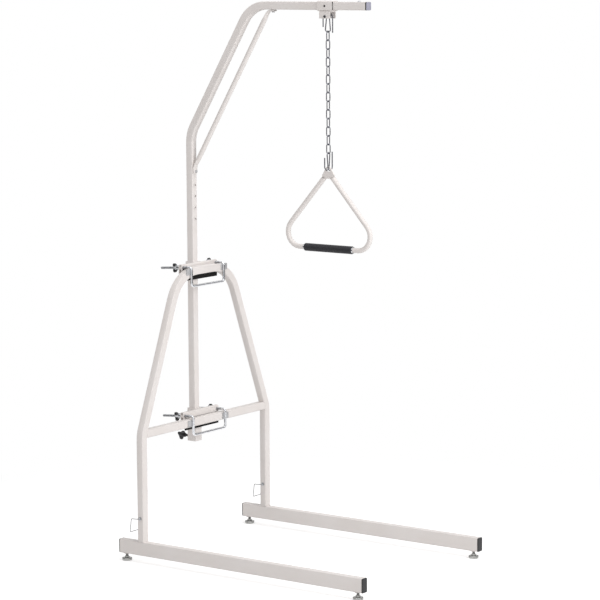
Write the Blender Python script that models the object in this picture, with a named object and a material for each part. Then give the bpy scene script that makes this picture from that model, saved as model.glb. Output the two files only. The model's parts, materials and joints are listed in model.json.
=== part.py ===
"""Freestanding trapeze: a floor stand whose cranked mast carries a chain and a triangular grab handle.

Units are metres, +Z is up and +X points from the stand's legs to the front of the base.
Everything is laid out with the legs in the plane X = 0 and then moved along X, so that the
whole object stands with the middle of its box over the origin.
"""
import bpy
import bmesh
from math import acos, cos, pi, radians, sin, sqrt, tan
from mathutils import Matrix, Vector

# Clearances between separate pieces
GAP = 0.0003
RUNNING_GAP = 0.0003

# Tube stock
TUBE = 0.0254
TUBE_WALL = 0.0016
TUBE_CORNER = 0.0028
SLEEVE = 0.03175
ROUND_TUBE = 0.016
ROUND_WALL = 0.0015

# Base
RAIL_SPACING = 0.647
RAIL_HEIGHT = 0.0444
RAIL_FRONT = 0.8472
RAIL_REAR = 0.0857
PLUG_FLANGE = 0.0035
PLUG_DEPTH = 0.011
PLUG_EDGE = 0.0008
PLUG_SHANK_CORNER = 0.0012
ARM_PLUG_DOME = 0.0015
FOOT_CLEAR = 0.024
REAR_FOOT_INSET = 0.0189
FRONT_FOOT_INSET = 0.0210
FOOT_DIAMETER = 0.032
FOOT_THICKNESS = 0.0095
FOOT_STEM = 0.009
FOOT_STEM_TOP = 0.050
INSERT_BARREL = 0.0145
INSERT_FLANGE = 0.0205
INSERT_FLANGE_THICKNESS = 0.0018
INSERT_DEPTH = 0.012

# Upright frame
LEG_BEND_Z = 0.412
LEG_BEND_RADIUS = 0.095
TOP_BAR_Z = 0.9043
TOP_BEND_Y = 0.1305
TOP_BEND_RADIUS = 0.1270
CROSSBAR_Z = 0.4132
STUB_TOP = 0.200

# Snap pins that hold the legs on their stubs
PIN_Z = 0.1440
PIN_DIAMETER = 0.0064
PIN_REACH = 0.0185
PIN_HEAD = 0.0115
PIN_HEAD_THICKNESS = 0.0025
PIN_END_BORE = 0.0030
PIN_END_DEPTH = 0.0060
BAIL_WIRE = 0.0024
BAIL_REACH = 0.0210
BAIL_ARM = 0.0300
BAIL_BAR_X = 0.0355
BAIL_BAR_DROP = 0.0450
BAIL_ARM_DROP = 0.0020
BAIL_CORNER = 0.0036

# Mast
MAST_X = -0.0443
MAST_FOOT_Z = 0.3420
MAST_BEND_Z = 1.3390
MAST_SLOPE = 0.6014
ARM_Z = 1.7502
ARM_END_X = 0.6434
MAST_BEND_RADIUS = 0.100
BUSH_Z = (1.0650, 1.1018, 1.1385, 1.1740)
BUSH_FLANGE = 0.0150
BUSH_PROUD = 0.0026
BUSH_BARREL = 0.0105
BUSH_BORE = 0.0068
BUSH_DEPTH = 0.0060
BUTTON_X = 0.6130
BUTTON_DIAMETER = 0.0085
BUTTON_PROUD = 0.0040
BUTTON_FLANGE = 0.0130
BUTTON_FLANGE_THICKNESS = 0.0012
SPRING_STRIP = 0.0008
SPRING_WIDTH = 0.0080
SPRING_RUN = 0.0300

# Brace between mast and arm
BRACE_SLOPE = 0.600
BRACE_X = 0.0793
BRACE_Z = 1.4153
BRACE_TAB = 0.0052
BRACE_TAB_WIDTH = 0.0215
BRACE_TAB_LENGTH = 0.0240
BRACE_BEND_RADIUS = 0.018
BRACE_TAPER = 0.030
SCREW_SHANK = 0.0050
SCREW_HEAD = 0.0100
SCREW_HEAD_THICKNESS = 0.0036
SCREW_INSIDE = 0.0050
SCREW_FROM_END = 0.0070

# Brackets that join the mast to the stand
BRACKET_HALF_WIDTH = 0.0920
BRACKET_DEPTH = 0.0127
BRACKET_HEIGHT = 0.0508
BRACKET_WALL = 0.0025
BRACKET_OVER_TOP_BAR = 0.0212
BRACKET_OVER_CROSSBAR = 0.0323
SLEEVE_BOTTOM = 0.3385
COLLAR_PROUD = 0.0012
PAD_HALF_WIDTH = 0.0880
PAD_HEIGHT = 0.0530
ROD_HOLE = 0.0102

# Hoops
HOOP_ROD = 0.0080
HOOP_HALF_WIDTH = 0.0840
HOOP_TILT = 4.3
HOOP_OVER_TOP_BAR = -0.0022
HOOP_OVER_CROSSBAR = 0.0064
HOOP_DROP = 0.0612
HOOP_CORNER = 0.0095
HOOP_REAR_X = -0.1050
PLATE_THICKNESS = 0.0020
WELD_SINK = 0.0008
PLATE_INNER_Y = 0.0745
PLATE_OUTER_Y = 0.1060
PLATE_HEIGHT = 0.0210

# Clamp knobs on the hoops' tails, and the lock knob under the lower bracket
COLLAR_DIAMETER = 0.0150
COLLAR_LENGTH = 0.0100
KNOB_Z = 0.3520
KNOB_SCREW = 0.0080
KNOB_BACKED_OFF = 0.0012
KNOB_BOSS = 0.0170
KNOB_BOSS_LENGTH = 0.0070
KNOB_NECK = 0.0140
KNOB_BODY = 0.0130
KNOB_FRONT_X = -0.0830
KNOB_BACK_X = -0.1050
KNOB_RADIUS = 0.0170
KNOB_LOBE = 0.0055
KNOB_LOBES = 3
KNOB_TURNS = {"upper_left": 90, "upper_right": 30, "lower_left": 80, "lower_right": 35, "lock": 60}

# Trolley and its hook bracket
TROLLEY_X = 0.4945
TROLLEY_LENGTH = 0.0555
TROLLEY_SCREW = 0.0050
TROLLEY_SCREW_HEAD = 0.0032
HANG_X = 0.4958
HANGER_REAR_X = 0.4740
HANGER_FRONT_X = 0.5145
HANGER_HEIGHT = 0.0222
HANGER_WALL = 0.0025
HANGER_FOLD = 0.0030
HANGER_PIN = 0.0056
HANGER_PIN_DROP = 0.0160
HANGER_PIN_HEAD = 0.0090
HANGER_PIN_HEAD_THICKNESS = 0.0020

# Wire hooks
HOOK_WIRE = 0.0036
HOOK_ARC_A = 0.0115
HOOK_ARC_B = 0.0108
HOOK_OFFSET_A = -0.0040
HOOK_OFFSET_B = 0.0045
HOOK_SIDE = 0.0034
HOOK_LENGTH = 0.0482
HOOK_BEND = 0.0120
HOOK_BEND_DEPTH = 0.0090
HOOK_SHORT_END = 0.0325
HOOK_LONG_END = 0.0500

# Chain
LINK_COUNT = 14
LINK_WIRE = 0.0032
LINK_LENGTH = 0.0334
LINK_WIDTH = 0.0162

# Grab handle
HANDLE_SIDE_ANGLE = 41.5
HANDLE_APEX_DROP = 0.0068
HANDLE_DROP = 0.2448
HANDLE_CORNER = 0.045
EYE_THICKNESS = 0.0044
EYE_ABOVE = 0.0102
EYE_BELOW = 0.0278
EYE_HALF_WIDTH = 0.0235
EYE_HOLE_HEIGHT = 0.0100
EYE_HOLE_WIDTH = 0.0162
GRIP_DIAMETER = 0.0245
GRIP_LENGTH = 0.1790
GRIP_RING = 0.0195
GRIP_RING_LENGTH = 0.0035

# Sides of round pieces
FINE = 20
MEDIUM = 14
COARSE = 12
WIRE = 8

# Places that follow from the sizes above
ARM_BEND_X = MAST_X + (ARM_Z - MAST_BEND_Z) * MAST_SLOPE
UPPER_BRACKET_TOP = TOP_BAR_Z + BRACKET_OVER_TOP_BAR
LOWER_BRACKET_TOP = CROSSBAR_Z + BRACKET_OVER_CROSSBAR
RAIL_TOP = FOOT_CLEAR + RAIL_HEIGHT
LEG_Y = RAIL_SPACING / 2
FRONT_REACH = RAIL_FRONT + PLUG_FLANGE
REAR_REACH = max(-KNOB_BACK_X, -HOOP_REAR_X, RAIL_REAR + PLUG_FLANGE)
CENTRE_SHIFT = -(FRONT_REACH - REAR_REACH) / 2
SLEEVE_FRONT_X = MAST_X + SLEEVE / 2
SLEEVE_BORE = TUBE + 2 * RUNNING_GAP
BRACKET_FRONT_X = SLEEVE_FRONT_X + BRACKET_DEPTH
PAD_REAR_X = BRACKET_FRONT_X + GAP
PAD_FRONT_X = -TUBE / 2 - GAP
PLATE_FRONT_X = TUBE / 2 + GAP + PLATE_THICKNESS
HOOP_FRONT_X = PLATE_FRONT_X - WELD_SINK + HOOP_ROD / 2
BRACKET_REAR_X = BRACKET_FRONT_X - BRACKET_DEPTH
TROLLEY_BOTTOM = ARM_Z - SLEEVE / 2
HANGER_PIN_Z = TROLLEY_BOTTOM - GAP - HANGER_PIN_DROP
HOOK_SEAT = HANGER_PIN / 2 + GAP + HOOK_WIRE / 2
HOOK_BOTTOM_Z = HANGER_PIN_Z - HOOK_LENGTH
LINK_CENTRE_LENGTH = LINK_LENGTH - LINK_WIRE
FIRST_LINK_TOP = HOOK_BOTTOM_Z + (HOOK_WIRE + LINK_WIRE) / 2 + GAP
LINK_PITCH = LINK_CENTRE_LENGTH - LINK_WIRE - GAP
LAST_LINK_BOTTOM = FIRST_LINK_TOP - LINK_CENTRE_LENGTH - (LINK_COUNT - 1) * LINK_PITCH
LOWER_HOOK_TOP = LAST_LINK_BOTTOM + (HOOK_WIRE + LINK_WIRE) / 2 + GAP
LOWER_HOOK_Z = LOWER_HOOK_TOP - HOOK_LENGTH
CLAMPS = (("upper", UPPER_BRACKET_TOP, TOP_BAR_Z, HOOP_OVER_TOP_BAR),
          ("lower", LOWER_BRACKET_TOP, CROSSBAR_Z, HOOP_OVER_CROSSBAR))


def material(name, colour, roughness, metallic=0.0):
    mat = bpy.data.materials.new(name)
    mat.use_nodes = True
    shader = mat.node_tree.nodes["Principled BSDF"]
    shader.inputs["Base Color"].default_value = (*colour, 1.0)
    shader.inputs["Roughness"].default_value = roughness
    shader.inputs["Metallic"].default_value = metallic
    return mat


def finish(bm, name, mat, origin=(0, 0, 0), smooth=35):
    """Turn a bmesh in world places into an object whose origin is at the given point."""
    bmesh.ops.recalc_face_normals(bm, faces=bm.faces)
    bmesh.ops.translate(bm, verts=bm.verts, vec=-Vector(origin))
    mesh = bpy.data.meshes.new(name)
    bm.to_mesh(mesh)
    bm.free()
    mesh.shade_smooth()
    mesh.set_sharp_from_angle(angle=radians(smooth))
    obj = bpy.data.objects.new(name, mesh)
    obj.location = origin
    obj.data.materials.append(mat)
    bpy.context.collection.objects.link(obj)
    return obj


def helper(bm, name, mat):
    """A hidden shape that cuts or adds to another piece."""
    obj = finish(bm, name, mat)
    obj.hide_render = True
    obj.display_type = 'WIRE'
    return obj


def boolean(obj, tool, operation='DIFFERENCE'):
    mod = obj.modifiers.new(tool.name, 'BOOLEAN')
    mod.operation = operation
    mod.solver = 'EXACT'
    mod.object = tool


def rounded_square(width, height, corner, steps=1):
    """Outline of a rectangular tube, anticlockwise, with rounded corners."""
    points = []
    for quarter, (sx, sy) in enumerate(((1, 1), (-1, 1), (-1, -1), (1, -1))):
        cx = sx * (width / 2 - corner)
        cy = sy * (height / 2 - corner)
        for step in range(steps + 1):
            angle = (quarter + step / steps) * pi / 2
            points.append((cx + corner * cos(angle), cy + corner * sin(angle)))
    return points


def circle(diameter, sides, flat=1.0, wide=1.0):
    """Outline of a round section; flat and wide squash and spread it."""
    turns = [2 * pi * (i + 0.5) / sides for i in range(sides)]
    return [(diameter / 2 * flat * cos(a), diameter / 2 * wide * sin(a)) for a in turns]


def bent_path(corners, steps=8):
    """Points along straight runs joined by arcs; corners are (point, bend radius) pairs."""
    points = [Vector(corners[0][0])]
    for i in range(1, len(corners) - 1):
        vertex = Vector(corners[i][0])
        back = (Vector(corners[i - 1][0]) - vertex).normalized()
        ahead = (Vector(corners[i + 1][0]) - vertex).normalized()
        radius = corners[i][1]
        inside = acos(max(-1.0, min(1.0, back.dot(ahead))))
        run = radius / tan(inside / 2)
        centre = vertex + (back + ahead).normalized() * (radius / sin(inside / 2))
        start = vertex + back * run - centre
        normal = start.cross(vertex + ahead * run - centre).normalized()
        for step in range(steps + 1):
            turn = Matrix.Rotation((pi - inside) * step / steps, 3, normal)
            points.append(centre + turn @ start)
    points.append(Vector(corners[-1][0]))
    return points


def sweep(bm, points, normal, outer, inner=None, closed=False):
    """Run a section along a path. outer and inner give the outline at a point's number."""
    count = len(points)
    rings = {True: [], False: []}
    side = Vector(normal).normalized()
    for i, point in enumerate(points):
        before = points[i - 1] if closed or i else points[0]
        after = points[(i + 1) % count] if closed or i < count - 1 else points[-1]
        ahead = (after - point).normalized() if after != point else None
        behind = (point - before).normalized() if before != point else ahead
        ahead = ahead or behind
        along = (ahead + behind).normalized()
        side = (side - along * side.dot(along)).normalized()
        across = along.cross(side)
        for wall, outline in ((True, outer), (False, inner)):
            if outline:
                ring = [bm.verts.new(point + side * u + across * v) for u, v in outline(i)]
                rings[wall].append(ring)
    for wall in (True, False):
        row = rings[wall]
        pairs = zip(row, row[1:] + row[:1]) if closed else zip(row, row[1:])
        for first, second in pairs:
            for j in range(len(first)):
                k = (j + 1) % len(first)
                bm.faces.new((first[j], first[k], second[k], second[j]))
    if closed:
        return
    for end in (0, -1):
        if not inner:
            bm.faces.new(rings[True][end])
            continue
        rim = rings[True][end]
        bore = rings[False][end]
        for j in range(len(rim)):
            k = (j + 1) % len(rim)
            bm.faces.new((rim[j], rim[k], bore[k], bore[j]))


def square_tube(bm, points, normal, width=TUBE, height=TUBE, wall=TUBE_WALL, corner=TUBE_CORNER):
    outer = rounded_square(width, height, corner)
    inner = rounded_square(width - 2 * wall, height - 2 * wall, max(corner - wall, 0.0006))
    sweep(bm, points, normal, lambda i: outer, lambda i: inner)


def round_bar(bm, points, normal, diameter, sides, closed=False):
    outline = circle(diameter, sides)
    sweep(bm, points, normal, lambda i: outline, closed=closed)


def turned(bm, profile, place, axis, sides, ring=False):
    """Turn a profile of (along, radius) points about an axis; a ring closes on itself."""
    turn = Vector((0, 0, 1)).rotation_difference(Vector(axis)).to_matrix()
    rows = []
    for along, radius in profile:
        row = []
        for i in range(sides):
            angle = 2 * pi * i / sides
            spot = Vector((radius * cos(angle), radius * sin(angle), along))
            row.append(bm.verts.new(Vector(place) + turn @ spot))
        rows.append(row)
    pairs = list(zip(rows, rows[1:]))
    if ring:
        pairs.append((rows[-1], rows[0]))
    else:
        bm.faces.new(rows[0])
        bm.faces.new(rows[-1])
    for first, second in pairs:
        for i in range(sides):
            k = (i + 1) % sides
            bm.faces.new((first[i], first[k], second[k], second[i]))


def rod(bm, start, end, diameter, sides):
    length = (Vector(end) - Vector(start)).length
    radius = diameter / 2
    profile = [(0, radius), (length, radius)]
    turned(bm, profile, start, Vector(end) - Vector(start), sides)


def block(bm, low, high):
    size = Vector(high) - Vector(low)
    centre = (Vector(high) + Vector(low)) / 2
    made = bmesh.ops.create_cube(bm, size=1.0)
    bmesh.ops.scale(bm, vec=size, verts=made["verts"])
    bmesh.ops.translate(bm, vec=centre, verts=made["verts"])
    return made["verts"]


def prism(bm, outline, depth, place):
    """Extrude a closed outline of (across, up) points both ways from its plane."""
    halves = []
    for side in (-1, 1):
        halves.append([bm.verts.new(place(u, w, side * depth / 2)) for u, w in outline])
    bm.faces.new(halves[0])
    bm.faces.new(halves[1])
    for j in range(len(outline)):
        k = (j + 1) % len(outline)
        bm.faces.new((halves[0][j], halves[0][k], halves[1][k], halves[1][j]))


# Base rails, their end plugs, stubs and threaded inserts
def foot_places():
    rear = -RAIL_REAR + REAR_FOOT_INSET
    front = RAIL_FRONT - FRONT_FOOT_INSET
    for side, y in (("left", -LEG_Y), ("right", LEG_Y)):
        for end, x in (("rear", rear), ("front", front)):
            yield f"{side}_{end}_foot", x, y


def make_rails(paint):
    for side, y in (("left", -LEG_Y), ("right", LEG_Y)):
        bm = bmesh.new()
        z = FOOT_CLEAR + RAIL_HEIGHT / 2
        ends = [Vector((-RAIL_REAR, y, z)), Vector((RAIL_FRONT, y, z))]
        square_tube(bm, ends, (0, 0, 1), width=RAIL_HEIGHT, height=TUBE)
        rail = finish(bm, f"{side}_rail", paint)
        width = TUBE - 2 * TUBE_WALL - 2 * GAP
        stub = bmesh.new()
        ends = [Vector((0, y, RAIL_TOP - TUBE_WALL / 2)), Vector((0, y, STUB_TOP))]
        square_tube(stub, ends, (1, 0, 0), width=width, height=width, corner=0.0018)
        boolean(rail, helper(stub, f"{side}_stub", paint), 'UNION')
        inserts = bmesh.new()
        bores = bmesh.new()
        flange = -INSERT_FLANGE_THICKNESS
        profile = [(flange, INSERT_FLANGE / 2), (TUBE_WALL / 3, INSERT_FLANGE / 2),
                   (TUBE_WALL / 3, INSERT_BARREL / 2), (INSERT_DEPTH, INSERT_BARREL / 2)]
        for name, x, foot_y in foot_places():
            if foot_y == y:
                turned(inserts, profile, (x, y, FOOT_CLEAR), (0, 0, 1), COARSE)
                rod(bores, (x, y, FOOT_CLEAR - 0.01), (x, y, FOOT_CLEAR + INSERT_DEPTH + 0.005),
                    FOOT_STEM + 2 * GAP, COARSE)
        boolean(rail, helper(inserts, f"{side}_inserts", paint), 'UNION')
        boolean(rail, helper(bores, f"{side}_insert_bores", paint))
        boolean(rail, bpy.data.objects["pin_holes"])


def plug(bm, face, out, height, width, dome):
    """A push-in cap: a shank inside the tube, a flange over its end and a low step for a face."""
    shank_height = height - 2 * TUBE_WALL - 2 * GAP
    shank_width = width - 2 * TUBE_WALL - 2 * GAP
    shapes = ((-PLUG_DEPTH, shank_height, shank_width, PLUG_SHANK_CORNER),
              (GAP, shank_height, shank_width, PLUG_SHANK_CORNER),
              (GAP, height, width, TUBE_CORNER), (PLUG_FLANGE - PLUG_EDGE + dome, height, width, TUBE_CORNER),
              (PLUG_FLANGE + dome, height - 2 * PLUG_EDGE, width - 2 * PLUG_EDGE, TUBE_CORNER - PLUG_EDGE))
    rings = []
    for along, tall, wide, corner in shapes:
        outline = rounded_square(tall, wide, corner)
        rings.append([bm.verts.new(face + Vector((out * along, v, u))) for u, v in outline])
    for first, second in zip(rings, rings[1:]):
        for j in range(len(first)):
            k = (j + 1) % len(first)
            bm.faces.new((first[j], first[k], second[k], second[j]))
    bm.faces.new(rings[0])
    bm.faces.new(rings[-1])


def make_plugs(black):
    for side, y in (("left", -LEG_Y), ("right", LEG_Y)):
        for end, x, out in (("rear", -RAIL_REAR, -1), ("front", RAIL_FRONT, 1)):
            bm = bmesh.new()
            face = Vector((x, y, FOOT_CLEAR + RAIL_HEIGHT / 2))
            plug(bm, face, out, RAIL_HEIGHT, TUBE, 0)
            finish(bm, f"{side}_{end}_plug", black)


def make_feet(steel):
    radius = FOOT_DIAMETER / 2
    hub = FOOT_STEM / 2 + 0.0045
    for name, x, y in foot_places():
        bm = bmesh.new()
        profile = [(0, radius - 0.0015), (0.0015, radius), (FOOT_THICKNESS - 0.003, radius),
                   (FOOT_THICKNESS, radius - 0.004), (FOOT_THICKNESS, hub),
                   (FOOT_THICKNESS + 0.005, hub), (FOOT_THICKNESS + 0.005, FOOT_STEM / 2),
                   (FOOT_STEM_TOP, FOOT_STEM / 2)]
        turned(bm, profile, (x, y, 0), (0, 0, 1), MEDIUM)
        finish(bm, name, steel, origin=(x, y, 0))


# Upright frame: one bent tube and a coped crossbar
def frame_path():
    corners = [((0, -LEG_Y, RAIL_TOP + GAP), 0), ((0, -LEG_Y, LEG_BEND_Z), LEG_BEND_RADIUS),
               ((0, -TOP_BEND_Y, TOP_BAR_Z), TOP_BEND_RADIUS),
               ((0, TOP_BEND_Y, TOP_BAR_Z), TOP_BEND_RADIUS),
               ((0, LEG_Y, LEG_BEND_Z), LEG_BEND_RADIUS), ((0, LEG_Y, RAIL_TOP + GAP), 0)]
    return bent_path(corners, steps=7)


def make_pin_holes(paint):
    bm = bmesh.new()
    for y in (-LEG_Y, LEG_Y):
        low = (0, y - TUBE, PIN_Z)
        high = (0, y + TUBE, PIN_Z)
        rod(bm, low, high, PIN_DIAMETER + 2 * GAP, COARSE)
    helper(bm, "pin_holes", paint)


def make_frame(paint):
    bm = bmesh.new()
    square_tube(bm, frame_path(), (1, 0, 0))
    frame = finish(bm, "stand_frame", paint)
    boolean(frame, bpy.data.objects["pin_holes"])
    bm = bmesh.new()
    ends = [Vector((0, -LEG_Y, CROSSBAR_Z)), Vector((0, LEG_Y, CROSSBAR_Z))]
    square_tube(bm, ends, (0, 0, 1))
    crossbar = finish(bm, "crossbar", paint)
    bm = bmesh.new()
    outline = rounded_square(TUBE + 2 * GAP, TUBE + 2 * GAP, TUBE_CORNER)
    sweep(bm, frame_path(), (1, 0, 0), lambda i: outline)
    boolean(crossbar, helper(bm, "crossbar_cope", paint))


# Snap pins with a wire bail that swings on the pin's two ends
def make_snap_pins(steel):
    for side, y in (("left", -LEG_Y), ("right", LEG_Y)):
        bm = bmesh.new()
        radius = PIN_DIAMETER / 2
        head_start = -TUBE / 2 - GAP - PIN_HEAD_THICKNESS
        bore = PIN_END_BORE / 2
        floor = PIN_REACH - PIN_END_DEPTH
        profile = [(-floor, bore), (-PIN_REACH, bore), (-PIN_REACH, radius),
                   (head_start, radius), (head_start, PIN_HEAD / 2),
                   (head_start + PIN_HEAD_THICKNESS, PIN_HEAD / 2),
                   (head_start + PIN_HEAD_THICKNESS, radius),
                   (PIN_REACH, radius), (PIN_REACH, bore), (floor, bore)]
        turned(bm, profile, (0, y, PIN_Z), (0, 1, 0), COARSE)
        finish(bm, f"{side}_snap_pin", steel)
        bm = bmesh.new()
        inside = PIN_REACH - PIN_END_DEPTH + GAP
        half = [((0, inside, 0), 0), ((0, BAIL_REACH, 0), BAIL_CORNER),
                ((-BAIL_ARM, BAIL_REACH, -BAIL_ARM_DROP), BAIL_CORNER),
                ((-BAIL_BAR_X, BAIL_REACH, -BAIL_BAR_DROP), BAIL_CORNER)]
        mirrored = [((x, -across, z), bend) for (x, across, z), bend in reversed(half)]
        corners = [(Vector(point) + Vector((0, y, PIN_Z)), bend) for point, bend in half + mirrored]
        round_bar(bm, bent_path(corners, steps=3), (0, 0, 1), BAIL_WIRE, WIRE)
        finish(bm, f"{side}_snap_bail", steel, origin=(0, y, PIN_Z))


# Mast: one tube bent twice, with through bushes, and the fittings of its arm
def mast_path():
    corners = [((MAST_X, 0, MAST_FOOT_Z), 0), ((MAST_X, 0, MAST_BEND_Z), MAST_BEND_RADIUS),
               ((ARM_BEND_X, 0, ARM_Z), MAST_BEND_RADIUS), ((ARM_END_X, 0, ARM_Z), 0)]
    return bent_path(corners, steps=7)


def brace_line(x=None, z=None):
    """The brace's centre line: X at a height, or the height at an X."""
    if z is None:
        return BRACE_Z + (x - BRACE_X) / BRACE_SLOPE
    return BRACE_X + (z - BRACE_Z) * BRACE_SLOPE


def brace_ends():
    front = MAST_X + TUBE / 2 + GAP + BRACE_TAB / 2
    under = ARM_Z - TUBE / 2 - GAP - BRACE_TAB / 2
    low = (front, brace_line(x=front))
    high = (brace_line(z=under), under)
    return low, high


def screw_places():
    (x, z), (top_x, top_z) = brace_ends()
    reach = BRACE_TAB_LENGTH - SCREW_FROM_END
    low = Vector((x, 0, z - reach))
    high = Vector((top_x + reach, 0, top_z))
    return ((low, Vector((-1, 0, 0))), (high, Vector((0, 0, 1))))


def make_mast(paint):
    bm = bmesh.new()
    square_tube(bm, mast_path(), (0, 1, 0))
    mast = finish(bm, "mast_tube", paint, origin=(MAST_X, 0, MAST_FOOT_Z))
    bushes = bmesh.new()
    face = TUBE / 2
    profile = [(face - BUSH_DEPTH, BUSH_BARREL / 2), (face - TUBE_WALL / 2, BUSH_BARREL / 2),
               (face - TUBE_WALL / 2, BUSH_FLANGE / 2),
               (face + BUSH_PROUD, BUSH_FLANGE / 2 - BUSH_PROUD / 3)]
    bm = bmesh.new()
    for z in BUSH_Z:
        for out in (-1, 1):
            turned(bushes, profile, (MAST_X, 0, z), (out, 0, 0), COARSE)
        low = (MAST_X - TUBE, 0, z)
        high = (MAST_X + TUBE, 0, z)
        rod(bm, low, high, BUSH_BORE, COARSE)
    boolean(mast, helper(bushes, "mast_bushes", paint), 'UNION')
    low = (BUTTON_X, 0, ARM_Z + TUBE / 4)
    high = (BUTTON_X, 0, ARM_Z + TUBE)
    rod(bm, low, high, BUTTON_DIAMETER + 2 * GAP, MEDIUM)
    boolean(mast, helper(bm, "mast_holes", paint))
    bm = bmesh.new()
    for place, inward in screw_places():
        rod(bm, place - inward * 0.008, place + inward * 0.010, SCREW_SHANK + 2 * GAP, COARSE)
    boolean(mast, helper(bm, "screw_holes", paint))


def make_brace(paint, steel):
    low, high = brace_ends()
    corners = [((low[0], 0, low[1] - BRACE_TAB_LENGTH), 0), ((low[0], 0, low[1]), BRACE_BEND_RADIUS),
               ((high[0], 0, high[1]), BRACE_BEND_RADIUS),
               ((high[0] + BRACE_TAB_LENGTH, 0, high[1]), 0)]
    bends = bent_path(corners, steps=4)
    first = bends[5]
    last = bends[6]
    along = (last - first).normalized()
    tapers = [first + along * BRACE_TAPER * share for share in (0.35, 0.7, 1.0)]
    tapers += [last - along * BRACE_TAPER * share for share in (1.0, 0.7, 0.35)]
    points = bends[:6] + tapers + bends[6:]
    shares = [0.0] * 6 + [0.35, 0.78, 1.0, 1.0, 0.78, 0.35] + [0.0] * 6

    def section(i, inset):
        share = shares[i]
        thick = BRACE_TAB + (ROUND_TUBE - BRACE_TAB) * share - 2 * inset
        wide = BRACE_TAB_WIDTH + (ROUND_TUBE - BRACE_TAB_WIDTH) * share - 2 * inset
        return circle(1.0, COARSE, flat=thick, wide=wide)

    bm = bmesh.new()
    sweep(bm, points, (1, 0, 0), lambda i: section(i, 0), lambda i: section(i, ROUND_WALL))
    brace = finish(bm, "brace", paint)
    boolean(brace, bpy.data.objects["screw_holes"])
    for name, (place, inward) in zip(("lower_brace_screw", "upper_brace_screw"), screw_places()):
        bm = bmesh.new()
        head = BRACE_TAB / 2 + GAP
        profile = [(-head - SCREW_HEAD_THICKNESS, SCREW_HEAD / 2 - 0.001),
                   (-head - 0.001, SCREW_HEAD / 2), (-head, SCREW_HEAD / 2), (-head, SCREW_SHANK / 2),
                   (head + SCREW_INSIDE, SCREW_SHANK / 2)]
        turned(bm, profile, place, inward, COARSE)
        finish(bm, name, steel)


def make_arm_fittings(black, steel):
    bm = bmesh.new()
    plug(bm, Vector((ARM_END_X, 0, ARM_Z)), 1, TUBE, TUBE, ARM_PLUG_DOME)
    finish(bm, "arm_end_plug", black)

    ceiling = ARM_Z + TUBE / 2 - TUBE_WALL - GAP
    top = ARM_Z + TUBE / 2 + BUTTON_PROUD
    radius = BUTTON_DIAMETER / 2
    flange = ceiling - BUTTON_FLANGE_THICKNESS
    bm = bmesh.new()
    profile = [(flange, BUTTON_FLANGE / 2), (ceiling, BUTTON_FLANGE / 2), (ceiling, radius),
               (top - 0.0015, radius), (top - 0.0005, radius * 0.75), (top, radius * 0.35)]
    turned(bm, profile, (BUTTON_X, 0, 0), (0, 0, 1), MEDIUM)
    finish(bm, "stop_button", steel, origin=(BUTTON_X, 0, ARM_Z))

    floor = ARM_Z - TUBE / 2 + TUBE_WALL + GAP
    upper = flange - GAP
    turn = BUTTON_X + SPRING_STRIP
    tip = BUTTON_X - SPRING_RUN
    outline = [(turn, upper), (turn - SPRING_STRIP * 8, upper), (tip, (upper + floor) / 2 + SPRING_STRIP),
               (tip, (upper + floor) / 2 - SPRING_STRIP), (turn - SPRING_STRIP * 8, floor), (turn, floor),
               (turn, floor + SPRING_STRIP), (turn - SPRING_STRIP * 7, floor + SPRING_STRIP),
               (tip + SPRING_STRIP * 3, (upper + floor) / 2),
               (turn - SPRING_STRIP * 7, upper - SPRING_STRIP), (turn, upper - SPRING_STRIP)]
    bm = bmesh.new()
    prism(bm, outline, SPRING_WIDTH, lambda u, w, d: Vector((u, d, w)))
    finish(bm, "stop_spring", steel)


# Brackets: a box section welded to a collar that the mast slides in
def bracket(bm, top):
    width = BRACKET_HEIGHT
    z = top - width / 2
    x = (BRACKET_FRONT_X + BRACKET_REAR_X) / 2
    ends = [Vector((x, -BRACKET_HALF_WIDTH, z)), Vector((x, BRACKET_HALF_WIDTH, z))]
    square_tube(bm, ends, (0, 0, 1), width=width, height=BRACKET_DEPTH, wall=BRACKET_WALL, corner=0.0026)


def rod_axis(bar_z, over):
    """The corner where a hoop's rod turns down before the bar, and the rod's way back."""
    corner = Vector((HOOP_FRONT_X, 0, bar_z + TUBE / 2 + over + HOOP_ROD / 2))
    tilt = radians(HOOP_TILT)
    return corner, Vector((-cos(tilt), 0, -sin(tilt)))


def rod_height(bar_z, over, x):
    corner, back = rod_axis(bar_z, over)
    return corner.z - (corner.x - x) * tan(radians(HOOP_TILT))


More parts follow.
